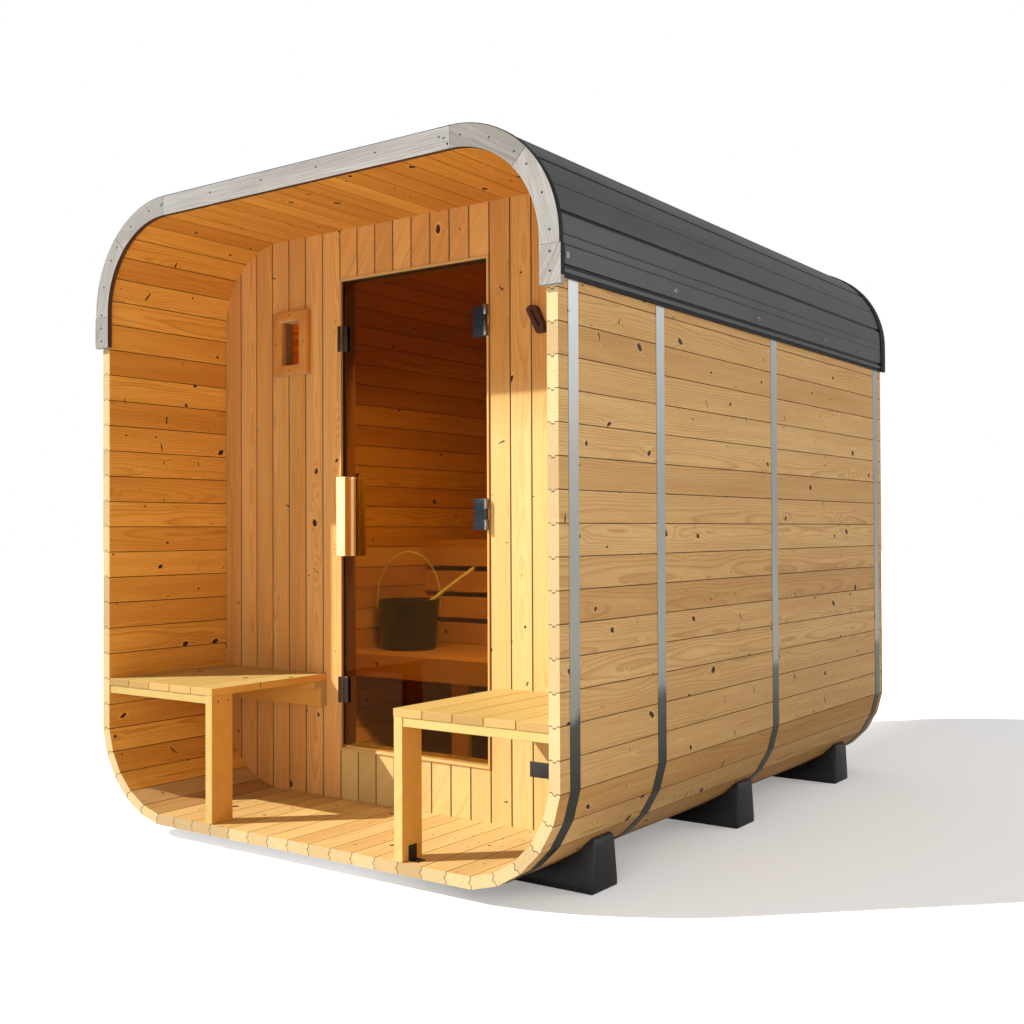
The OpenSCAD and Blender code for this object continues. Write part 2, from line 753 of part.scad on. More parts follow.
floor_staves();
ceiling_staves();
left_wall_staves();
right_wall_staves();
lower_left_corner_staves();
lower_right_corner_staves();
upper_left_corner_staves();
upper_right_corner_staves();
front_wall_left();
front_wall_right();
front_wall_over_door();
front_wall_under_door();
rear_wall();
front_hoop();
porch_hoop();
room_hoop();
rear_hoop();
front_saddle();
middle_saddle();
rear_saddle();
roof_battens();
left_roof_sheet();
top_roof_sheet();
right_roof_sheet();
eave_strips();
roof_rear_trim();
left_front_trim();
top_front_trim();
right_front_trim();
front_edge_strip();
frame_hinge_jamb();
frame_latch_jamb();
frame_head();
frame_sill();
hinge_barrels();
door_glass();
hinge_clamps();
door_handle();
door_catches();
catch_keepers();
left_porch_seat();
left_porch_seat_frame();
right_porch_seat();
right_porch_seat_frame();
seat_foot_bracket();
low_bench_seat();
low_bench_frame();
high_bench_seat();
high_bench_frame();
high_bench_skirt();
pail();
pail_bail();
ladle();
vent_frame();
wall_peg();
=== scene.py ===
"""Cube sauna: finishes, small fittings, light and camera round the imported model."""

import json
import math
import random
from functools import partial

import bmesh
import bpy
from bpy.props import FloatProperty, FloatVectorProperty, IntProperty, PointerProperty
from mathutils import Matrix, Vector


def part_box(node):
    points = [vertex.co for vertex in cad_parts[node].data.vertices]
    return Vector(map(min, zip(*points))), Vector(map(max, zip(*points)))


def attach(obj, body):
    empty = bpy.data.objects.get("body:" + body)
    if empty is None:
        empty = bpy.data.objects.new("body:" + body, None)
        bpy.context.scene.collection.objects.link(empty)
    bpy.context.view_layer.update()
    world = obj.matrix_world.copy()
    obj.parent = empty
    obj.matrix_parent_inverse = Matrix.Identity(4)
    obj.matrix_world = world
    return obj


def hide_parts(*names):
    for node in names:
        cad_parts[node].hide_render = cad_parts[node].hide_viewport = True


bl_info = {
    "name": "Cube sauna",
    "version": (1, 0, 0),
    "blender": (4, 5, 0),
    "location": "3D View > Sidebar > Sauna",
    "description": "Dresses the packed cube sauna with timber, steel and glass",
    "category": "Object",
}

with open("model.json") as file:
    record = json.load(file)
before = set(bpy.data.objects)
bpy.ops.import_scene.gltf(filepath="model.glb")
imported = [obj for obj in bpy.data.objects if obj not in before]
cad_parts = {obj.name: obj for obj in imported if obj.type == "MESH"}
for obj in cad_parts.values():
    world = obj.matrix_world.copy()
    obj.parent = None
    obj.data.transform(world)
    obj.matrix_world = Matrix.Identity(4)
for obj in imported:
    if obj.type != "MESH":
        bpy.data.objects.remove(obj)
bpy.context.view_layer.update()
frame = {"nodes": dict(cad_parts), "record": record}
NODES = frame["nodes"]

# Staves by the tone of their inner faces: an orange that paints shade on most, and a cream that paints sunlight
# on the floor and the right side, which are paler than the rest.
SHADE_PAINTED_STAVES = ("ceiling_staves", "left_wall_staves", "upper_left_corner_staves", "upper_right_corner_staves",
               "lower_left_corner_staves")
SUN_PAINTED_STAVES = ("floor_staves", "right_wall_staves", "lower_right_corner_staves")
# Walls by tone: orange paints shade left of the door, over it and at the rear; cream paints sunlight right of it
# and under it.
SHADE_PAINTED_WALLS = ("front_wall_left", "front_wall_over_door", "rear_wall")
SUN_AND_SHADE_PAINTED_WALLS = ("front_wall_right", "front_wall_under_door")
HOOPS = ("front_hoop", "porch_hoop", "room_hoop", "rear_hoop")
SADDLES = ("front_saddle", "middle_saddle", "rear_saddle")
SHEETS = ("left_roof_sheet", "top_roof_sheet", "right_roof_sheet")
TRIM = ("left_front_trim", "top_front_trim", "right_front_trim")
FRAME = ("frame_hinge_jamb", "frame_latch_jamb", "frame_head", "frame_sill")
SEATS = ("left_porch_seat", "left_porch_seat_frame", "right_porch_seat", "right_porch_seat_frame")
BENCHES = ("low_bench_seat", "low_bench_frame", "high_bench_seat", "high_bench_frame", "high_bench_skirt")

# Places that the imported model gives. The ceiling is 15 staves wide, and its flat part ends 7 from the middle.
SHELL_LOW, SHELL_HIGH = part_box("right_wall_staves")
CEILING_LOW, CEILING_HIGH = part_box("ceiling_staves")
SHELL_TOP = CEILING_HIGH.z
FLOOR_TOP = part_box("floor_staves")[1].z
SHELL_FRONT = SHELL_LOW.y
STAVE_W = (CEILING_HIGH.x - CEILING_LOW.x) / 15
CORNER_X = 7 * STAVE_W
CORNER_R = SHELL_HIGH.x - CORNER_X
CORNER_Z = SHELL_TOP - CORNER_R
SECTION_MID = Vector((0, 0, (SHELL_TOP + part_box("floor_staves")[0].z) / 2))
WALL_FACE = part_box("front_wall_right")[0].y
TRIM_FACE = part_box("top_front_trim")[0].y
GLASS_LOW, GLASS_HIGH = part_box("door_glass")
VENT_LOW, VENT_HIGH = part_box("vent_frame")

# Small measures, in metres.
RIM = 0.0014  # dark border of a stave's end beside its joints
TRIM_RIM = 0.003  # dark border of a trim board at its ends
TRIM_SINK = 0.0008  # the trim's face lies this much further back, which keeps its screws inside the model
LIT_CORNER_HEIGHT = 0.08  # height over the floor up to which the lower corner's inner faces keep their paler tone, as painted sunlight
LOW_HEAD = 0.0006  # how far a countersunk head stands out

# Patterns of the wood: cells per metre along, across and through a board.
FIBRES = (7.0, 420.0, 420.0)  # 2.4 mm wide, which is coarser than real fibres, so that they show
TONES = (1.3, 22.0, 22.0)  # slow changes of tone, some 45 mm wide
SWAY = (1.1, 3.0, 3.0)  # slow bends of the growth rings
RAGGED = (130.0, 130.0, 130.0)  # the torn outline of a knot, at 8 mm
SPECKS = (90.0, 330.0, 330.0)  # 3 mm specks on sawn ends, coarser than real pores, so that they show
KNOT_CELL = (0.19, 0.085)  # length and width, in metres, of a cell that may hold one knot
LOG = (23.0, 7.0, 5.0)  # how far apart the boards are cut from their log
ROLLING = (3.0, 900.0, 3.0)  # lines on rolled steel, 1 mm apart: coarser than the real ones, so that they show

COLOUR = dict(data_type="RGBA", out=2)  # settings of a Mix node between the colours in its sockets 6 and 7
HALF = (0.5, 0.5, 0.5)  # middle of a noise


# ---------- colour and nodes ----------

def linear(code, gain=1.0):
    """Linear colour of an sRGB hex value, with its brightness times the gain."""
    parts = [int(code[k:k + 2], 16) / 255 for k in (1, 3, 5)]
    return tuple(gain * (c / 12.92 if c <= 0.04045 else ((c + 0.055) / 1.055) ** 2.4) for c in parts) + (1.0,)


def add_node(tree, kind, *values, out=0, stops=None, sockets=None, **settings):
    """Adds a shader node and gives its output, by name or number.

    kind may carry an operation after a dot. The values fill the first sockets in order and sockets names others:
    each is a number, a colour or another node's output, and None leaves a socket as it is."""
    kind, _, operation = kind.partition(".")
    made = tree.nodes.new("ShaderNode" + kind)
    if operation:
        made.operation = operation
    for name, value in settings.items():
        setattr(made, name, value)
    for key, value in [*enumerate(values), *(sockets or {}).items()]:
        if isinstance(value, bpy.types.NodeSocket):
            tree.links.new(value, made.inputs[key])
        elif value is not None:
            made.inputs[key].default_value = value
    for k, (place, colour) in enumerate(stops or ()):
        ramp = made.color_ramp.elements
        stop = ramp[k] if k < 2 else ramp.new(place)
        stop.position, stop.color = place, colour
    return made.outputs[out] if made.outputs else made


def new_material(name):
    """An empty material with its tree and its surface shader."""
    made = bpy.data.materials.new(name)
    made.use_nodes = True
    return made, made.node_tree, made.node_tree.nodes["Principled BSDF"]


def grey(value):
    """A linear grey."""
    return (value, value, value, 1.0)


def timber(name, palette, inner=None, sawn=None, knot_share=0.5, knot_size=0.011, slash=0.5, ring=0.0045,
           contrast=1.0, rough=0.6, bump=0.25, spread=1.0, fibre=0.5, joint=0.0, painted_shade=None):
    """Sawn softwood: growth rings cut by the board's own faces, knots that turn them, and fine fibres.

    palette: the pale, middle and deep tone of the boards, the late wood line and the knots, as colours; inner:
    the first four of them for faces marked inner; sawn: the pale and dark tone of sawn ends; ring: how wide a
    growth ring is in metres, more than the real 2 to 4 mm, so that it shows; knot_size: the radius of a large
    knot; slash: the share of knots cut lengthwise; joint: how dark the chamfers and tongues beside a joint are;
    painted_shade: the heights between which the inner tones take over from the others, as painted shade."""
    made, tree, shader = new_material(name)
    add = partial(add_node, tree)
    inner = inner or palette[:4]
    sawn = sawn or (palette[0], palette[3])
    grain = add("Attribute", attribute_name="grain", out="Vector")
    luck_board = add("Attribute", attribute_name="board", out="Vector")
    board = [add("SeparateXYZ", luck_board, out=k) for k in range(3)]
    is_end, is_inner, is_joint = (add("Attribute", attribute_name=mark, out="Fac")
                                  for mark in ("end_face", "inner_face", "joint_face"))
    # Painted shade: over these heights the inner tones take over, standing for the shade under the roof.
    if painted_shade:
        is_inner = add("MapRange", add("SeparateXYZ", add("TexCoord", out="Object"), out=2), *painted_shade)

    # Each board is cut from its own place in the log, and its rings sway along it.
    place = add("VectorMath.MULTIPLY_ADD", luck_board, LOG, grain)
    sway = add("TexNoise", add("VectorMath.MULTIPLY", place, SWAY), None, 1.0, 2.0, out="Color")
    sway = add("VectorMath.SUBTRACT", sway, HALF)
    swayed = add("VectorMath.MULTIPLY_ADD", sway, (0.0, 0.055, 0.055), grain)

    # Knots: one chance in each cell along the board. Some are round, some are long slashes across the grain.
    knot_at = add("VectorMath.MULTIPLY", place, (1 / KNOT_CELL[0], 1 / KNOT_CELL[1], 0.0))
    cells = dict(voronoi_dimensions="2D", sockets={"Vector": knot_at, "Scale": 1.0, "Randomness": 0.9})
    centre = add("TexVoronoi", out="Position", **cells)
    luck = [add("SeparateXYZ", add("TexVoronoi", out="Color", **cells), out=k) for k in range(3)]
    off = add("VectorMath.MULTIPLY", add("VectorMath.SUBTRACT", knot_at, centre), (*KNOT_CELL, 0.0))
    ragged = add("TexNoise", add("VectorMath.MULTIPLY", place, RAGGED), None, 1.0, 2.0, out="Color")
    ragged = add("VectorMath.SUBTRACT", ragged, HALF)
    off = add("VectorMath.MULTIPLY_ADD", ragged, (0.013, 0.013, 0.0), off)
    turn = add("Math.MULTIPLY_ADD", luck[2], 1.6, -0.8)
    along, across = add("SeparateXYZ", off, out=0), add("SeparateXYZ", off, out=1)
    tilted = add("Math.MULTIPLY_ADD", across, turn, along)
    has_knot = add("Math.GREATER_THAN", luck[0], 1.0 - knot_share)
    knot_r = add("Math.MULTIPLY_ADD", add("Math.POWER", luck[1], 2.2), knot_size, knot_size * 0.3)
    is_slash = add("Math.LESS_THAN", add("Math.FRACT", add("Math.MULTIPLY", luck[1], 7.3)), slash)
    thin = add("Math.MULTIPLY_ADD", is_slash, 2.2, 0.75)
    tall = add("Math.MULTIPLY_ADD", is_slash, -0.25, 0.9)
    reach = add("CombineXYZ", add("Math.MULTIPLY", tilted, thin), add("Math.MULTIPLY", across, tall))
    ratio = add("Math.DIVIDE", add("VectorMath.LENGTH", reach, out="Value"), knot_r)
    flow = add("VectorMath.LENGTH", add("CombineXYZ", add("Math.MULTIPLY", along, 0.3), across), out="Value")
    flow = add("Math.DIVIDE", flow, knot_r)
    pull = add("MapRange", flow, 0.4, 3.6, 1.0, 0.0, interpolation_type="SMOOTHSTEP")
    pull = add("Math.MULTIPLY", add("Math.MULTIPLY", pull, has_knot), add("Math.MULTIPLY", knot_r, 1.3))

    # Growth rings round a pith that lies beside the board.
    at = [add("SeparateXYZ", swayed, out=k) for k in (1, 2)]
    dv = add("Math.SUBTRACT", at[0], add("Math.MULTIPLY_ADD", board[1], 0.16, -0.08))
    dw = add("Math.ADD", at[1], add("Math.MULTIPLY_ADD", board[2], 0.07, 0.018))
    radius = add("VectorMath.LENGTH", add("CombineXYZ", dv, dw), out="Value")
    wave = add("Math.FRACT", add("Math.DIVIDE", add("Math.ADD", radius, pull), ring))
    line = add("ValToRGB", wave, stops=[(0.0, grey(0.1)), (1.0, grey(0.1)), (0.45, grey(0.15)),
                                        (0.82, grey(0.75)), (0.9, grey(1.0))])

    # Fibres and slow changes of tone.
    fine = add("TexNoise", add("VectorMath.MULTIPLY", place, FIBRES), None, 1.0, 2.0)
    slow = add("TexNoise", add("VectorMath.MULTIPLY", place, TONES), None, 1.0, 3.0)
    tone = add("Math.MULTIPLY_ADD", add("Math.SUBTRACT", board[0], 0.5), 0.85 * spread, 0.5)
    tone = add("Math.MULTIPLY_ADD", add("Math.SUBTRACT", slow, 0.5), 0.9, tone, use_clamp=True)
    skins = [add("ValToRGB", tone, stops=[(0.0, skin[0]), (1.0, skin[2]), (0.5, skin[1])])
             for skin in (palette, inner)]
    body = add("Mix", is_inner, sockets={6: skins[0], 7: skins[1]}, **COLOUR)
    late = add("Mix", is_inner, sockets={6: palette[3], 7: inner[3]}, **COLOUR)
    strength = add("Math.MULTIPLY", line, add("Math.MULTIPLY_ADD", slow, 0.5 * contrast, 0.12 * contrast))
    body = add("Mix", strength, sockets={6: body, 7: late}, **COLOUR)
    streak = add("MapRange", fine, 0.36, 0.7, 0.0, fibre * 0.45)
    body = add("Mix", streak, sockets={6: body, 7: late}, **COLOUR)

    # Knot: a pale halo, a dark bark line and a brown core.
    halo = add("MapRange", ratio, 1.1, 2.1, 0.5, 0.0, interpolation_type="SMOOTHSTEP")
    halo_tone = add("Mix", is_inner, sockets={6: palette[0], 7: inner[0]}, **COLOUR)
    body = add("Mix", add("Math.MULTIPLY", halo, has_knot), sockets={6: body, 7: halo_tone}, **COLOUR)
    dark = tuple(0.4 * c for c in palette[4][:3]) + (1.0,)
    core = add("ValToRGB", add("Math.MULTIPLY", ratio, 0.5), stops=[
        (0.0, dark), (0.6, palette[3]), (0.3, palette[4]), (0.42, dark), (0.5, palette[4])])
    inside = add("MapRange", ratio, 0.95, 1.25, 1.0, 0.0)
    inside = add("Math.MULTIPLY", add("Math.MULTIPLY", inside, has_knot), add("Math.SUBTRACT", 1.0, is_end))
    body = add("Mix", inside, sockets={6: body, 7: core}, **COLOUR)

    # Sawn ends show the rings as arcs between specks; the faces in a joint are dark with dust and shade.
    speck = add("TexNoise", add("VectorMath.MULTIPLY", place, SPECKS), None, 1.0, 2.0)
    speck = add("Math.MULTIPLY_ADD", line, 0.4, add("MapRange", speck, 0.42, 0.8, 0.0, 0.45), use_clamp=True)
    sawn_skin = add("Mix", speck, sockets={6: sawn[0], 7: sawn[1]}, **COLOUR)
    aged = add("MapRange", board[1], 0.3, 1.0, 0.0, 0.5)
    sawn_skin = add("Mix", aged, sockets={6: sawn_skin, 7: sawn[1]}, **COLOUR)
    body = add("Mix", is_end, sockets={6: body, 7: sawn_skin}, **COLOUR)
    body = add("Mix", add("Math.MULTIPLY", is_joint, joint), sockets={6: body, 7: dark}, **COLOUR)
    tree.links.new(body, shader.inputs["Base Color"])
    shader.inputs["Roughness"].default_value = rough
    shader.inputs["Specular IOR Level"].default_value = 0.28
    height = add("Math.MULTIPLY_ADD", line, 0.5, add("Math.MULTIPLY", fine, 0.8))
    tree.links.new(add("Bump", bump, 0.0006, sockets={"Height": height}), shader.inputs["Normal"])
    return made


def fine_surface(name, code, metallic=0.0, rough=0.4, grit=0.0006, bump=0.15, vary=0.12, shine=0.5,
                 hidden="#000000"):
    """A coated, moulded or rolled surface: its tone and roughness drift slowly, over a fine grit.

    grit: its size in metres; hidden: the colour painted on faces marked inner, as shade."""
    made, tree, shader = new_material(name)
    add = partial(add_node, tree)
    here = add("TexCoord", out="Object")
    slow = add("TexNoise", here, None, 3.0, 4.0)
    fine = add("TexNoise", here, None, 1 / (4 * grit), 2.0)
    speck = add("Math.MULTIPLY_ADD", add("Math.SUBTRACT", fine, 0.5), 0.8, slow)
    tone = add("ValToRGB", speck, stops=[(0.3, linear(code, 1 - vary)), (0.7, linear(code, 1 + vary))])
    is_inner = add("Attribute", attribute_name="inner_face", out="Fac")
    tone = add("Mix", is_inner, sockets={6: tone, 7: linear(hidden)}, **COLOUR)
    drift = add("MapRange", slow, 0.3, 0.7, rough * 0.85, min(1.0, rough * 1.15))
    tree.links.new(tone, shader.inputs["Base Color"])
    tree.links.new(drift, shader.inputs["Roughness"])
    shader.inputs["Metallic"].default_value = metallic
    shader.inputs["Specular IOR Level"].default_value = shine
    tree.links.new(add("Bump", bump, grit * 0.5, sockets={"Height": fine}), shader.inputs["Normal"])
    return made


def rolled_steel_band():
    """Cold-rolled stainless strip: lines along the band, and a tone by height that paints reflections, pale sky
    above and dark ground low down.
    """
    made, tree, shader = new_material("rolled_stainless_strip")
    add = partial(add_node, tree)
    here = add("TexCoord", out="Object")
    lines = add("TexNoise", add("VectorMath.MULTIPLY", here, ROLLING), None, 1.0, 3.0)
    cloud = add("TexNoise", here, None, 5.0, 3.0)
    # Painted reflection: the tone follows the height, blue-white where the band would mirror the sky and dark
    # near the ground where it would mirror shade.
    height = add("Math.MULTIPLY_ADD", add("Math.SUBTRACT", cloud, 0.5), 0.15, add("SeparateXYZ", here, out=2))
    height = add("MapRange", height, FLOOR_TOP, SHELL_TOP)
    reflection_stops = ((0.0, "#34342a"), (1.0, "#bccbd6"), (0.22, "#4e5048"), (0.235, "#8f8d82"), (0.55, "#a8a69e"),
              (0.78, "#b9bcbc"))
    tone = add("ValToRGB", height, stops=[(at, linear(code)) for at, code in reflection_stops])
    tree.links.new(tone, shader.inputs["Base Color"])
    shader.inputs["Metallic"].default_value = 0.85
    tree.links.new(add("MapRange", lines, None, None, 0.25, 0.42), shader.inputs["Roughness"])
    return made


def tinted_glass():
    """Toughened bronze float glass: brown straight on, mirror-like at a flat angle."""
    made, tree, shader = new_material("bronze_float_glass")
    tree.nodes.remove(shader)
    add = partial(add_node, tree)
    clear = add("BsdfTransparent", linear("#bcae80"))
    gloss = add("BsdfGlossy", linear("#d39a5c"), 0.02)
    front = add("Math.SUBTRACT", 1.0, add("NewGeometry", out="Backfacing"))
    share = add("Math.MULTIPLY", add("Fresnel", 1.45), front)
    both = add("MixShader", share, clear, gloss)
    tree.links.new(both, tree.nodes["Material Output"].inputs["Surface"])
    return made


# ---------- meshes ----------

def island_list(bm):
    """The separate solids of a mesh, as lists of faces, in the order of their places."""
    def place(faces):
        middle = sum((f.calc_center_median() for f in faces), Vector()) / len(faces)
        return tuple(round(c, 4) for c in middle)

    seen, out = set(), []
    for first in bm.faces:
        if first not in seen:
            seen.add(first)
            found = [first]
            for face in found:
                fresh = [g for e in face.edges for g in e.link_faces if g not in seen]
                found += dict.fromkeys(fresh)
                seen.update(fresh)
            out.append(found)
    return sorted(out, key=place)


def board_axes(faces):
    """Centre of a board, and its directions along, across and through, from its own shape.

    A board lies along an axis or, in the trim, at some 15 degrees of turn in the cross-section."""
    verts = list(dict.fromkeys(v for f in faces for v in f.verts))
    centre = sum((v.co for v in verts), Vector()) / len(verts)
    turns = [math.radians(turn) for turn in range(15, 180, 15)]
    axes = [Vector((1, 0, 0)), Vector((0, 1, 0)), Vector((0, 0, 1))]
    axes += [Vector((math.cos(turn), 0, math.sin(turn))) for turn in turns]

    def length(axis):
        reach = [v.co.dot(axis) for v in verts]
        return round(max(reach) - min(reach), 4)

    along = max(axes, key=length)
    shares = {}
    for f in faces:
        if abs(f.normal.dot(along)) < 0.2:
            key = tuple(round(abs(c), 1) for c in f.normal)
            total, kept = shares.get(key, (0.0, f.normal.copy()))
            shares[key] = (total + f.calc_area(), kept)
    none = (0.0, Vector((0, 0, 1)))
    through = max(shares.values(), key=lambda share: round(share[0], 6), default=none)[1]
    through = (through - along * through.dot(along)).normalized()
    return centre, along, along.cross(through).normalized(), through


def merged_copy(node, wrapped=False):
    """A bmesh of a CAD node with its doubles merged and its flat faces joined.

    The ends of a wrapped sheet stay cut into strips: one face could not follow the whole bend."""
    bm = bmesh.new()
    bm.from_mesh(NODES[node].data)
    bmesh.ops.remove_doubles(bm, verts=bm.verts, dist=2e-5)
    edges = [e for e in bm.edges if not (wrapped and all(abs(f.normal.y) > 0.9 for f in e.link_faces))]
    bmesh.ops.dissolve_limit(bm, angle_limit=math.radians(0.4), verts=[] if wrapped else bm.verts, edges=edges)
    return bm


def bordered(bm, faces, width):
    """Insets a border in each of the faces, and gives the borders' faces."""
    return bmesh.ops.inset_individual(bm, faces=faces, thickness=width, use_even_offset=True)["faces"]


def touches(face, others):
    """True if a face has an edge in common with one of the others."""
    return any(g in others for e in face.edges for g in e.link_faces)


def mark_grain(bm, seed, jointed=None, scribe=0.0):
    """Gives every point its place in its own board, each board its own random numbers, and marks sawn ends.

    jointed: tells which of the boards' long sides lie in a joint; they are marked too. scribe: width of the dark
    line that a board's broad faces have at its ends."""
    luck = random.Random(seed)
    grain = bm.verts.layers.float_vector.new("grain")
    board = bm.verts.layers.float_vector.new("board")
    end = bm.faces.layers.float.new("end_face")
    joint = bm.faces.layers.float.new("joint_face")
    bm.normal_update()
    for faces in island_list(bm):
        centre, along, across, through = board_axes(faces)
        draw = Vector((luck.random(), luck.random(), luck.random()))
        ends = [f for f in faces if abs(f.normal.dot(along)) > 0.8]
        broad = [f for f in faces if abs(f.normal.dot(through)) > 0.95]
        sides = {f for f in faces if jointed and f not in ends and f not in broad and jointed(f)}
        rims = bordered(bm, ends, RIM) if sides else []
        lines = bordered(bm, broad, scribe) if scribe else []
        cut = set(rims) | {f for f in sides if abs(f.normal.dot(along)) > 0.1}
        for f in faces + rims + lines:
            f[end] = float(f in ends or f in rims)
            f[joint] = float(f in sides or f in rims and touches(f, sides) or f in lines and touches(f, cut))
            for v in f.verts:
                d = v.co - centre
                v[grain] = (d.dot(along), d.dot(across), d.dot(through))
                v[board] = draw


def mark_inner(bm, test):
    """Marks the faces for which the test of a face is true."""
    layer = bm.faces.layers.float.new("inner_face")
    for f in bm.faces:
        f[layer] = float(test(f))


def everywhere(f):
    """True for every face."""
    return True


def faces_inwards(f):
    """True for a face of the shell that looks at the room or the porch."""
    to_axis = SECTION_MID - f.calc_center_median()
    to_axis.y = 0
    return f.normal.dot(to_axis.normalized()) > 0.5


def faces_sideways(f):
    """True for a face that looks to the left or the right."""
    return abs(f.normal.x) > 0.7


def painted_shade_in_seat(f):
    """True for a face of a porch seat that looks sideways, or forwards from its rear half: these faces get
    painted shade.
    """
    return faces_sideways(f) or f.normal.y < -0.7 and f.calc_center_median().y > SHELL_FRONT + 0.3


def in_roof_shade_line(f):
    """True for the roof's lines of painted shade: its grooves, and the lower sides of the beads on its upright
    part.

    A groove lies under 12.1 mm over the staves, and a bead stands over 13.6 mm."""
    middle = f.calc_center_median()
    height, lean = over_staves(middle), max(0.0, middle.z - CORNER_Z) / CORNER_R
    return height < 0.0121 or height > 0.0136 and f.normal.z < lean < 0.45


def over_staves(point):
    """Height of a point over the outer faces of the shell's upper half."""
    if point.z < CORNER_Z:
        return abs(point.x) - SHELL_HIGH.x
    if abs(point.x) < CORNER_X:
        return point.z - SHELL_TOP
    return math.hypot(abs(point.x) - CORNER_X, point.z - CORNER_Z) - CORNER_R


def soften(bm, width, angle=25.0, segments=2):
    """Rounds the edges sharper than the angle."""
    sharp = [e for e in bm.edges if e.is_manifold and e.calc_face_angle(0.0) > math.radians(angle)]
    if sharp and width > 0:
        bmesh.ops.bevel(bm, geom=sharp, offset=width, offset_type="OFFSET", affect="EDGES", segments=segments,
                        profile=0.5, material=-1, clamp_overlap=True)


def finish_piece(bm, name, finish, body="root", replaces=(), smooth=30.0):
    """Makes the object, smooths it up to the given angle, gives it its finish, hangs it on its body and hides
    what it replaces.
    """
    bmesh.ops.triangulate(bm, faces=[f for f in bm.faces if len(f.verts) > 4])
    bm.normal_update()
    for f in bm.faces:
        f.smooth = True
        f.material_index = 0
    for e in bm.edges:
        e.smooth = e.is_manifold and e.calc_face_angle(0.0) < math.radians(smooth)
    mesh = bpy.data.meshes.new(name)
    bm.to_mesh(mesh)
    bm.free()
    mesh.materials.append(MATERIALS[finish])
    piece = bpy.data.objects.new(name, mesh)
    bpy.context.scene.collection.objects.link(piece)
    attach(piece, body)
    if replaces:
        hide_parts(*replaces)
    return piece


def body_of(node):
    """The name of the body that a CAD node rides on."""
    return next(b for b, nodes in frame["record"]["behaviour"]["bodies"].items() if node in nodes)


def timber_piece(node, finish, seed, edge=0.0, smooth=20.0, jointed=None, inner=None, scribe=0.0, sink=0.0):
    """Stands for a CAD node of boards, with grain on each of them. sink: how far its front lies further back."""
    bm = merged_copy(node)
    front = min(v.co.y for v in bm.verts)
    bmesh.ops.translate(bm, verts=[v for v in bm.verts if v.co.y < front + 1e-5], vec=(0, sink, 0))
    mark_grain(bm, seed, jointed, scribe)
    if inner:
        mark_inner(bm, inner)
    soften(bm, edge)
    return finish_piece(bm, node + "_timber", finish, body_of(node), (node,), smooth)


def plain_piece(node, finish, suffix, edge, segments=2, smooth=30.0, angle=25.0, inner=None, wrapped=False):
    """Stands for a CAD node with its edges rounded."""
    bm = merged_copy(node, wrapped)
    if inner:
        mark_inner(bm, inner)
    soften(bm, edge, angle, segments)
    return finish_piece(bm, node + suffix, finish, body_of(node), (node,), smooth)


def add_box(bm, low, high):
    """A box between two corners."""
    low, high = Vector(low), Vector(high)
    made = bmesh.ops.create_cube(bm, size=1.0)
    bmesh.ops.scale(bm, verts=made["verts"], vec=high - low)
    bmesh.ops.translate(bm, verts=made["verts"], vec=(low + high) / 2)


def screw_heads(name, places, normal, radius, height=LOW_HEAD, finish="screw", washer=0.0, dome=0.5):
    """Low domed heads on the given places, all facing one way. washer: the radius of one under each head."""
    rings = [(washer, washer * 0.93, height * 0.4)] if washer else []
    rings.append((radius, radius * dome, height))
    turn = Vector((0, 0, 1)).rotation_difference(Vector(normal)).to_matrix().to_4x4()
    bm = bmesh.new()
    for place in places:
        at = Matrix.Translation(place) @ turn
        for wide, narrow, deep in rings:
            head = bmesh.ops.create_cone(bm, cap_ends=True, segments=16, radius1=wide, radius2=narrow,
                                         depth=deep)
            lift = Matrix.Translation((0, 0, deep / 2))
            bmesh.ops.transform(bm, verts=head["verts"], matrix=at @ lift)
    return finish_piece(bm, name, finish)


# ---------- finishes ----------

# Brightness of the pale, middle and deep boards and of the late wood against the middle tone, in each channel.
BOARD_TONES = ((1.16, 1.24, 1.38), (1.0, 1.0, 1.0), (0.80, 0.70, 0.56), (0.60, 0.44, 0.30))


def board_palette(code, knot="#3e1c0c", depth=1.0):
    """The five tones of a timber round its middle one. depth: how far the other tones lie from it."""
    middle = linear(code)
    tones = [tuple(min(1.0, c * (1 + depth * (share - 1))) for c, share in zip(middle, shares)) + (1.0,)
             for shares in BOARD_TONES]
    return tones + [linear(knot)]


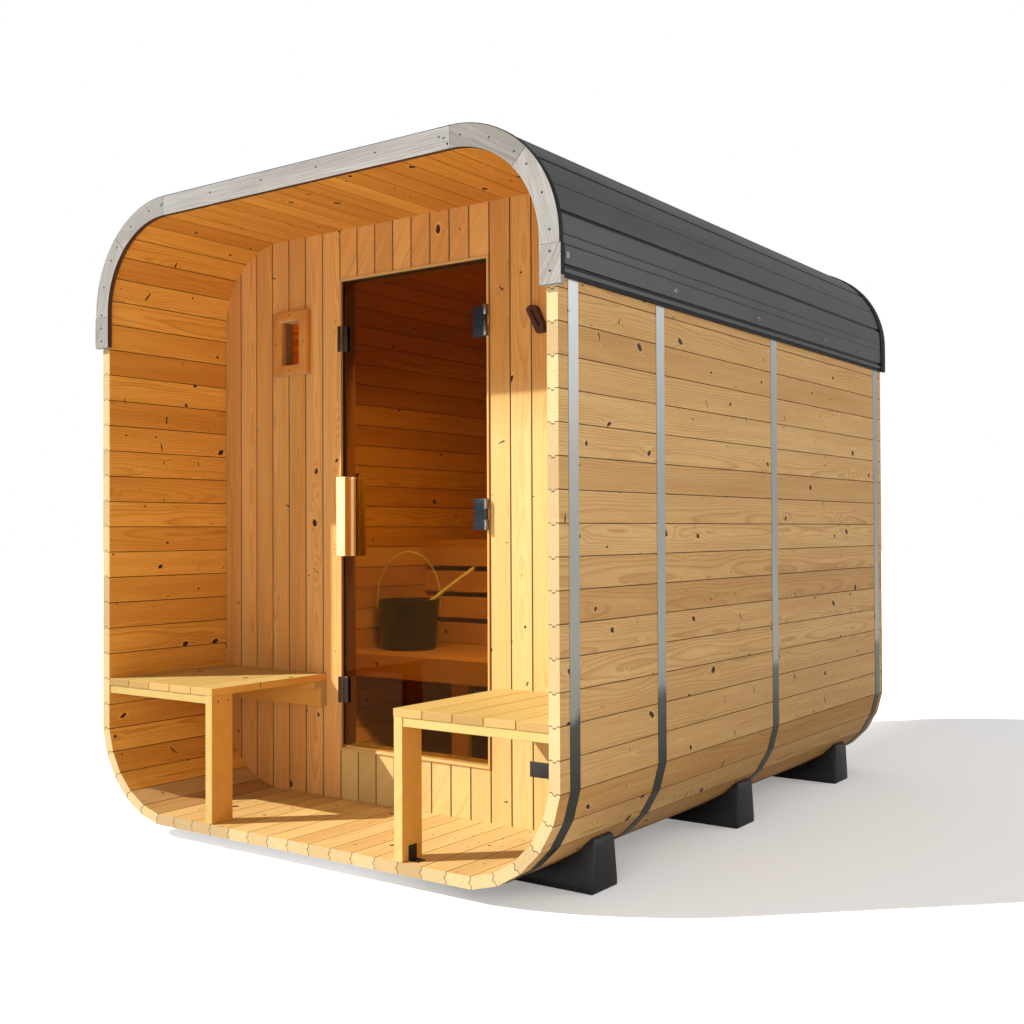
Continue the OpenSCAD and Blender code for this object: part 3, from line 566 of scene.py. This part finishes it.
def build_materials():
    """All finishes of the sauna, named for the real material."""
    made = {}
    honey, orange = board_palette("#bf955a"), board_palette("#dc993d")
    cream, seat_shade_tones = board_palette("#c9a365", depth=0.6), board_palette("#cd8e3a", depth=0.7)
    end_grain = (linear("#c8ad7b"), linear("#82603a"))
    speckled_end = (linear("#c39c5a"), linear("#704a20"))
    stave = dict(sawn=end_grain, knot_size=0.009, ring=0.007, contrast=1.7, fibre=0.8, joint=0.7)
    upright = dict(sawn=end_grain, knot_share=0.3, knot_size=0.009, ring=0.006, joint=0.7)
    # Oiled spruce, planed: greyed to a honey tone outside; the orange of the inner faces is painted shade.
    made["stave_painted_shade"] = timber("oiled_spruce_staves_painted_shade", honey, orange, spread=1.15, **stave)
    # The same boards where more light falls on the inner faces: their cream inner tone is painted sunlight.
    made["stave_painted_sun"] = timber("oiled_spruce_staves_painted_sun", honey, cream, **stave)
    # Upright wall boards in the porch, left of the door and over it: an even orange tone, which is painted
    # shade.
    made["wall_painted_shade"] = timber("planed_spruce_wall_boards_painted_shade", board_palette("#d29650"), contrast=1.4, spread=0.7,
                               **upright)
    # Those right of the door and under it: a cream tone that paints sunlight, and from 1.5 to 1.75 m up the
    # orange inner tones take over as painted shade of the ceiling.
    made["wall_painted_sun_and_shade"] = timber("planed_spruce_wall_boards_painted_sun_and_shade", board_palette("#cba666", depth=0.6),
                               board_palette("#c48a45"), contrast=1.2, spread=0.6, painted_shade=(1.5, 1.75),
                               **upright)
    # Planed aspen: smooth pale yellow boards with few small knots; the orange on the sideways faces and the rear
    # of the seats is painted shade.
    made["bench"] = timber("planed_aspen_benches", board_palette("#b99c5a", depth=0.7), seat_shade_tones, speckled_end,
                           knot_share=0.15, contrast=0.9, spread=0.7)
    # Oiled pine round the vent: more orange than the boards about it.
    made["vent"] = timber("oiled_pine_vent_frame", board_palette("#c8843a"), sawn=end_grain, knot_share=0.2)
    # Spruce benches in the room, browned by many firings.
    made["room_bench"] = timber("browned_spruce_room_benches", board_palette("#c98a45", depth=0.8),
                                sawn=end_grain, knot_share=0.25, knot_size=0.009, ring=0.006, contrast=1.4)
    # Varnished pine: a brown door frame with a soft sheen; its darker sideways faces are painted shade.
    made["frame"] = timber("varnished_pine_frame", board_palette("#c29a5c"), board_palette("#a8672c"),
                           knot_share=0.05, contrast=0.8, spread=0.5, rough=0.42)
    # Waxed alder: the grip that hands keep clean, nearly cream in the sun; its brown sideways faces are painted
    # shade.
    made["handle"] = timber("waxed_alder_grip", board_palette("#d9c48c"), board_palette("#bd7a33", depth=0.7),
                            knot_share=0.1, contrast=0.7, rough=0.45)
    # Larch left to the weather: silver grey on its face; on the faces that look inward it is bare brown wood,
    # darkened further with painted shade.
    silver = [linear(code) for code in ("#a8a29b", "#938d86", "#7a746d", "#565049", "#332d28")]
    made["grey"] = timber("weathered_grey_larch", silver, board_palette("#4d2f19"), (silver[1], silver[3]),
                          knot_share=0.1, rough=0.85, fibre=1.0, bump=0.6)
    # Ash browned by heat: the slotted peg.
    made["dark"] = timber("heat_treated_dark_ash", board_palette("#45220f", "#160903"), knot_share=0.0,
                          rough=0.5)
    # Polyester-coated roof steel: satin charcoal; the black in its grooves and on the lower sides of its beads
    # is painted shade.
    made["roof"] = fine_surface("coated_charcoal_roof_steel", "#464748", rough=0.36, grit=0.0012, bump=0.08,
                                shine=0.16, hidden="#020202")
    # The same coating in black, matt: the narrow strips along the roof's edges.
    made["edge"] = fine_surface("coated_black_edge_steel", "#0b0b0c", rough=0.5, shine=0.15)
    made["band"] = rolled_steel_band()
    # Rotational-moulded polyethylene: black, a little grey on its skin, with a fine dimple.
    made["saddle"] = fine_surface("moulded_black_polyethylene", "#1b1c1d", rough=0.42, grit=0.0018, bump=0.5,
                                  vary=0.4, shine=0.4)
    # Brushed steel: bright knuckles and roof screws.
    made["hinge"] = fine_surface("brushed_hinge_steel", "#7b7d82", metallic=1.0, rough=0.32)
    # Blued steel: nearly black plates that catch a cold sheen.
    made["plate"] = fine_surface("blued_clamp_steel", "#1c1f28", metallic=0.35, rough=0.28)
    # Moulded nylon and seal rubber: black, one satin and one dull.
    made["catch"] = fine_surface("moulded_black_nylon", "#17140f", rough=0.35)
    made["rubber"] = fine_surface("black_seal_rubber", "#0b0b0b", rough=0.6)
    # Vitreous enamel: black and glossy.
    made["pail"] = fine_surface("black_enamelled_pail", "#0d0a08", rough=0.25)
    # Blackened screws and zinc-coated nails: dark and grey points in the wood.
    made["screw"] = fine_surface("blackened_steel_screw", "#1d1a17", metallic=0.3, rough=0.5)
    made["nail"] = fine_surface("zinc_nail", "#55595e", metallic=0.3, rough=0.4)
    # Anodised aluminium: a dull dark plate.
    made["label"] = fine_surface("anodised_dark_plate", "#2c2b2a", metallic=0.3, rough=0.45)
    made["glass"] = tinted_glass()
    return made


MATERIALS = {}


# ---------- properties and operators ----------

class SaunaStage(bpy.types.PropertyGroup):
    """Light and camera."""
    sun_strength: FloatProperty(name="Key light", description="Strength of the key light from the left",
                                default=6.7, min=0)
    sun_blur: FloatProperty(name="Key light width", description="How wide the key light looks",
                            default=math.radians(0.9), subtype="ANGLE", unit="ROTATION")
    sky: FloatProperty(name="Surroundings", description="Strength of the soft light from all round",
                       default=0.40, min=0)
    side_fill: FloatProperty(name="Side light", description="Power of the soft light on the right",
                             default=162.0, min=0, unit="POWER")
    porch_fill: FloatProperty(name="Porch light", description="Power of the soft light into the porch",
                              default=60.0, min=0, unit="POWER")
    room_fill: FloatProperty(name="Room light", description="Power of the warm light inside",
                             default=41.0, min=0, unit="POWER")
    ground: FloatVectorProperty(name="Floor colour", description="Colour of the pale floor", size=3,
                                subtype="COLOR", default=(0.86, 0.86, 0.86), min=0, max=1)
    lens: FloatProperty(name="Focal length", description="Focal length of the camera", default=43.47, min=10,
                        unit="CAMERA")


class SaunaSizes(bpy.types.PropertyGroup):
    """Sizes of the small fittings and of the rounded edges."""
    board_edge: FloatProperty(name="Board edge", description="Rounding of the seat and bench boards",
                              default=0.003, subtype="DISTANCE", unit="LENGTH")
    frame_edge: FloatProperty(name="Frame edge", description="Rounding of the door frame",
                              default=0.002, subtype="DISTANCE", unit="LENGTH")
    saddle_edge: FloatProperty(name="Saddle edge", description="Rounding of the saddles",
                               default=0.012, subtype="DISTANCE", unit="LENGTH")
    screw: FloatProperty(name="Screw head", description="Radius of the wood screws' heads",
                         default=0.0035, subtype="DISTANCE", unit="LENGTH")
    eave_screws: IntProperty(name="Eave screws", description="Washered screws along each eave",
                             default=4, min=2, max=9)


class SAUNA_OT_shell(bpy.types.Operator):
    """Grain on the staves of the shell, the nails in its floor and the screw beside the first hoop"""
    bl_idname = "sauna.shell"
    bl_label = "Staves"

    def execute(self, context):
        # Painted shade on the inner faces over that height; under it they keep the pale outer tone as painted
        # sunlight.
        painted_shade = lambda f: faces_inwards(f) and f.calc_center_median().z > FLOOR_TOP + LIT_CORNER_HEIGHT
        for tone, nodes, inner in (("stave_painted_shade", SHADE_PAINTED_STAVES, painted_shade),
                                   ("stave_painted_sun", SUN_PAINTED_STAVES, faces_inwards)):
            for seed, node in enumerate(nodes):
                timber_piece(node, tone, sum(map(ord, node)) + seed, jointed=everywhere, inner=inner)
        # A row of nails beside the joints, over the bearer under the porch, and some odd ones.
        nails = [(k * STAVE_W + 0.012, 0.35) for k in range(-6, 7)]
        nails += [(0.482, 0.304), (0.559, 0.438), (0.629, 0.458), (0.698, 0.143), (0.683, 0.015), (0.231, 0.189)]
        screw_heads("floor_nails", [(x, SHELL_FRONT + back, FLOOR_TOP) for x, back in nails], (0, 0, 1),
                    context.scene.sauna_sizes.screw, 0.0008, "nail", dome=0.8)
        place = (SHELL_HIGH.x, SHELL_FRONT + 0.059, CORNER_Z - 0.218)
        screw_heads("stave_screw", [place], (1, 0, 0), 0.004, 0.003, washer=0.008)
        return {"FINISHED"}


class SAUNA_OT_walls(bpy.types.Operator):
    """Grain on the upright boards of the end walls, the vent frame and the peg, and the bare plate"""
    bl_idname = "sauna.walls"
    bl_label = "End walls"

    def execute(self, context):
        for tone, nodes in (("wall_painted_shade", SHADE_PAINTED_WALLS), ("wall_painted_sun_and_shade", SUN_AND_SHADE_PAINTED_WALLS)):
            for seed, node in enumerate(nodes):
                timber_piece(node, tone, sum(map(ord, node)) + seed, jointed=everywhere)
        timber_piece("vent_frame", "vent", 220, edge=0.006, smooth=40)
        timber_piece("wall_peg", "dark", 221, edge=0.002)
        timber_piece("roof_battens", "wall_painted_sun_and_shade", 222)
        middle, inset = (VENT_LOW + VENT_HIGH) / 2, 0.018
        across, up = VENT_HIGH.x - middle.x - inset, VENT_HIGH.z - middle.z - inset
        places = [(middle.x + u * across, VENT_LOW.y, middle.z + v * up)
                  for u, v in ((0, 1), (0, -1), (1, 0), (-1, 0))]
        screw_heads("vent_screws", places, (0, -1, 0), context.scene.sauna_sizes.screw)
        plate = bmesh.new()
        add_box(plate, (0.561, WALL_FACE - 0.0015, 0.283), (0.643, WALL_FACE, 0.338))
        soften(plate, 0.0006)
        finish_piece(plate, "bare_plate", "label")
        return {"FINISHED"}


class SAUNA_OT_hoops(bpy.types.Operator):
    """Stainless hoops round the shell"""
    bl_idname = "sauna.hoops"
    bl_label = "Hoops"

    def execute(self, context):
        for node in HOOPS:
            plain_piece(node, "band", "_band", 0.0006, segments=1, smooth=12.0, angle=40.0)
        return {"FINISHED"}


class SAUNA_OT_saddles(bpy.types.Operator):
    """Moulded saddles under the shell"""
    bl_idname = "sauna.saddles"
    bl_label = "Saddles"

    def execute(self, context):
        edge = context.scene.sauna_sizes.saddle_edge
        for node in SADDLES:
            plain_piece(node, "saddle", "_moulding", edge, segments=3, smooth=40.0, angle=40.0)
        return {"FINISHED"}


class SAUNA_OT_roof(bpy.types.Operator):
    """Coated roof sheets with their screws, and the dark closing strips"""
    bl_idname = "sauna.roof"
    bl_label = "Roof"

    def execute(self, context):
        for node in SHEETS:
            plain_piece(node, "roof", "_coated", 0.0007, segments=1, smooth=28.0, angle=12.0, inner=in_roof_shade_line,
                        wrapped=True)
        for node in ("roof_rear_trim", "front_edge_strip", "eave_strips"):
            plain_piece(node, "edge", "_coated", 0.0006, segments=1, smooth=20.0, angle=40.0, wrapped=True)
        first, pitch, proud = SHELL_FRONT + 0.0315, 0.684, SHELL_HIGH.x + 0.0135
        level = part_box("eave_strips")[0].z + 0.066
        for side, name in ((-1, "left_eave_screws"), (1, "right_eave_screws")):
            places = [(side * proud, first + k * pitch, level)
                      for k in range(context.scene.sauna_sizes.eave_screws)]
            screw_heads(name, places, (side, 0, 0), 0.006, 0.006, "hinge", washer=0.011)
        return {"FINISHED"}


class SAUNA_OT_trim(bpy.types.Operator):
    """Grey weathered boards over the stave ends, with their screws"""
    bl_idname = "sauna.trim"
    bl_label = "Front trim"

    def execute(self, context):
        for seed, node in enumerate(TRIM):
            timber_piece(node, "grey", 300 + seed, jointed=everywhere, inner=faces_inwards, scribe=TRIM_RIM,
                         sink=TRIM_SINK)
        head, face = context.scene.sauna_sizes.screw * 1.3, TRIM_FACE + TRIM_SINK
        # The screws' line lies a little inside the shell's own: straight, round each corner, straight down.
        drop, reach = 0.010, 0.375
        row = [(-0.70 + 0.27 * k, face, SHELL_TOP - drop) for k in range(6)]
        screw_heads("top_trim_screws", row, (0, -1, 0), head)
        for side, name, turns in ((-1, "left_trim_screws", (2, 13, 31, 48, 57, 74, 91, 99, 107)),
                                  (1, "right_trim_screws", (-4, 6, 24, 41, 51, 68, 86, 96, 105))):
            places = []
            for turn in turns:
                bend = math.radians(min(turn, 90))
                down = reach * math.sin(math.radians(max(turn - 90, 0)))
                places.append((side * (CORNER_X - drop + reach * math.sin(bend)), face,
                               CORNER_Z - drop + reach * math.cos(bend) - down))
            screw_heads(name, places, (0, -1, 0), head)
        return {"FINISHED"}


class SAUNA_OT_door(bpy.types.Operator):
    """Frame, glass, grip, hinges, catches and seal of the door"""
    bl_idname = "sauna.door"
    bl_label = "Door"

    def execute(self, context):
        edge = context.scene.sauna_sizes.frame_edge
        for seed, node in enumerate(FRAME):
            timber_piece(node, "frame", 400 + seed, edge=edge, inner=faces_sideways)
        timber_piece("door_handle", "handle", 410, edge=0.003, inner=faces_sideways)
        plain_piece("hinge_barrels", "hinge", "_steel", 0.0008)
        plain_piece("hinge_clamps", "plate", "_steel", 0.0012)
        plain_piece("door_catches", "catch", "_moulding", 0.0025, segments=3)
        plain_piece("catch_keepers", "catch", "_moulding", 0.0015)
        plain_piece("door_glass", "glass", "_pane", 0.0008, segments=1)
        # The seal lines the rebate beside and over the glass.
        gap, seal = 0.005, 0.003
        low, high = GLASS_LOW - Vector((gap, 0, 0)), GLASS_HIGH + Vector((gap, 0, gap))
        strips = bmesh.new()
        add_box(strips, low, (low.x + seal, high.y, high.z))
        add_box(strips, (low.x + seal, low.y, high.z - seal), (high.x - seal, high.y, high.z))
        add_box(strips, (high.x - seal, low.y, low.z), high)
        finish_piece(strips, "door_seal", "rubber")
        return {"FINISHED"}


class SAUNA_OT_seats(bpy.types.Operator):
    """Porch seats and the benches inside"""
    bl_idname = "sauna.seats"
    bl_label = "Seats and benches"

    def execute(self, context):
        sizes = context.scene.sauna_sizes
        for seed, node in enumerate(SEATS + BENCHES):
            low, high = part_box(node)
            between = lambda f: low.x + 0.01 < f.calc_center_median().x < high.x - 0.01
            on_porch = node in SEATS
            timber_piece(node, "bench" if on_porch else "room_bench", 500 + seed, edge=sizes.board_edge,
                         jointed=between if node.endswith("seat") else None,
                         inner=painted_shade_in_seat if on_porch else None)
        plain_piece("seat_foot_bracket", "screw", "_steel", 0.0008, segments=1)
        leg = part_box("left_porch_seat_frame")[1]
        places = [(leg.x, SHELL_FRONT + back, leg.z - 0.022) for back in (0.030, 0.079)]
        screw_heads("seat_leg_screws", places, (1, 0, 0), sizes.screw)
        return {"FINISHED"}


class SAUNA_OT_pail(bpy.types.Operator):
    """Pail with its bail and ladle"""
    bl_idname = "sauna.pail"
    bl_label = "Pail"

    def execute(self, context):
        plain_piece("pail", "pail", "_enamel", 0.0015, smooth=40.0, angle=40.0)
        timber_piece("pail_bail", "handle", 600, edge=0.0015, smooth=30)
        timber_piece("ladle", "handle", 601, smooth=60)
        return {"FINISHED"}


def add_floor(ground):
    """Matt pale floor: the eye sees it white, with a painted glow stronger on the left, and it throws back only
    a part of the light.
    """
    bm = bmesh.new()
    bmesh.ops.create_grid(bm, x_segments=1, y_segments=1, size=60.0)
    mesh = bpy.data.meshes.new("pale_floor")
    bm.to_mesh(mesh)
    bm.free()
    floor = bpy.data.objects.new("pale_floor", mesh)
    bpy.context.scene.collection.objects.link(floor)
    paint, tree, shader = new_material("matt_pale_floor")
    tree.nodes.remove(shader)
    add = partial(add_node, tree)
    eye = add("LightPath", out="Is Camera Ray")
    dull = add("BsdfDiffuse", (*(0.75 * c for c in ground), 1))
    side = add("SeparateXYZ", add("TexCoord", out="Object"), out=0)
    # Painted light: a glow seen only by the eye, strongest on the left, lifts the shadow under the shell's front
    # edge.
    painted_glow = add("MapRange", side, 0.1, 0.9, 0.6, 0.2, interpolation_type="SMOOTHSTEP")
    seen = add("AddShader", add("BsdfDiffuse", (*ground, 1)), add("Emission", (1, 1, 1, 1), painted_glow))
    tree.links.new(add("MixShader", eye, dull, seen), tree.nodes["Material Output"].inputs["Surface"])
    mesh.materials.append(paint)


def add_surroundings(strength):
    """White all round: bright to the eye, and softer as a light."""
    world = bpy.data.worlds.new("plain_white")
    bpy.context.scene.world = world
    world.use_nodes = True
    world.node_tree.nodes.clear()
    add = partial(add_node, world.node_tree)
    lit = add("Background", (1, 1, 1, 1), strength)
    seen = add("Background", (1, 1, 1, 1), 1.0)
    add("OutputWorld", add("MixShader", add("LightPath", out="Is Camera Ray"), lit, seen))


def add_lamp(kind, name, place, aim, **settings):
    """A lamp at a place, turned towards a point."""
    data = bpy.data.lights.new(name, kind)
    for key, value in settings.items():
        setattr(data, key, value)
    lamp = bpy.data.objects.new(name, data)
    bpy.context.scene.collection.objects.link(lamp)
    lamp.location = place
    lamp.rotation_euler = (Vector(aim) - lamp.location).to_track_quat("-Z", "Y").to_euler()
    lamp.visible_camera = False


def add_camera(lens, place, yaw, pitch, roll):
    """A camera at a place. yaw turns it from +Y to the left, pitch lifts it, and roll tips it clockwise."""
    data = bpy.data.cameras.new("camera")
    data.lens, data.sensor_width, data.clip_end = lens, 36.0, 200.0
    camera = bpy.data.objects.new("camera", data)
    bpy.context.scene.collection.objects.link(camera)
    ahead = Vector((-math.sin(yaw) * math.cos(pitch), math.cos(yaw) * math.cos(pitch), math.sin(pitch)))
    level = Vector((math.cos(yaw), math.sin(yaw), 0))
    upright = level.cross(ahead)
    right = level * math.cos(roll) + upright * math.sin(roll)
    up = upright * math.cos(roll) - level * math.sin(roll)
    turn = Matrix((right, up, -ahead)).transposed().to_4x4()
    camera.matrix_world = Matrix.Translation(place) @ turn
    bpy.context.scene.camera = camera


class SAUNA_OT_stage(bpy.types.Operator):
    """Pale floor, plain light and the camera"""
    bl_idname = "sauna.stage"
    bl_label = "Stage"

    def execute(self, context):
        stage = context.scene.sauna_stage
        add_floor(stage.ground)
        add_surroundings(stage.sky)
        add_lamp("SUN", "key_light", (0, 0, 0), (1.05, 1.0, -1.14), energy=stage.sun_strength,
                 angle=stage.sun_blur, color=(0.97, 1.0, 1.0))
        area = partial(add_lamp, "AREA", shape="RECTANGLE")
        area("side_light", (6.5, 2.5, 3.6), (1.0, 0.6, 1.2), size=7.0, size_y=4.0, energy=stage.side_fill)
        area("porch_light", (2.2, -4.6, 1.4), (-0.9, -1.0, 0.7), size=2.0, size_y=1.5, energy=stage.porch_fill)
        area("room_light", (0.0, -0.55, 2.0), (-0.1, 0.4, 0.3), size=0.8, size_y=0.3, energy=stage.room_fill,
             color=(1.0, 0.88, 0.62), spread=2.4)
        turns = (math.radians(angle) for angle in (35.535, 0.854, -0.248))
        add_camera(stage.lens, (3.0998, -4.4714, 1.1662), *turns)
        context.scene.view_settings.view_transform = "Standard"
        return {"FINISHED"}


class SAUNA_PT_panel(bpy.types.Panel):
    """Lists the sauna's sizes and its steps"""
    bl_idname = "SAUNA_PT_panel"
    bl_label = "Cube sauna"
    bl_space_type = "VIEW_3D"
    bl_region_type = "UI"
    bl_category = "Sauna"

    def draw(self, context):
        for group in (context.scene.sauna_sizes, context.scene.sauna_stage):
            for name in group.__annotations__:
                self.layout.prop(group, name)
        for step in STEPS:
            self.layout.operator(step.bl_idname)


STEPS = (SAUNA_OT_shell, SAUNA_OT_walls, SAUNA_OT_hoops, SAUNA_OT_saddles, SAUNA_OT_roof, SAUNA_OT_trim,
         SAUNA_OT_door, SAUNA_OT_seats, SAUNA_OT_pail, SAUNA_OT_stage)
CLASSES = (SaunaStage, SaunaSizes, *STEPS, SAUNA_PT_panel)


def register():
    for cls in CLASSES:
        bpy.utils.register_class(cls)
    bpy.types.Scene.sauna_stage = PointerProperty(type=SaunaStage)
    bpy.types.Scene.sauna_sizes = PointerProperty(type=SaunaSizes)


def unregister():
    del bpy.types.Scene.sauna_sizes
    del bpy.types.Scene.sauna_stage
    for cls in reversed(CLASSES):
        bpy.utils.unregister_class(cls)


def main():
    register()
    MATERIALS.update(build_materials())
    for step in STEPS:
        group, name = step.bl_idname.split(".")
        getattr(getattr(bpy.ops, group), name)()


if __name__ == "__main__":
    main()
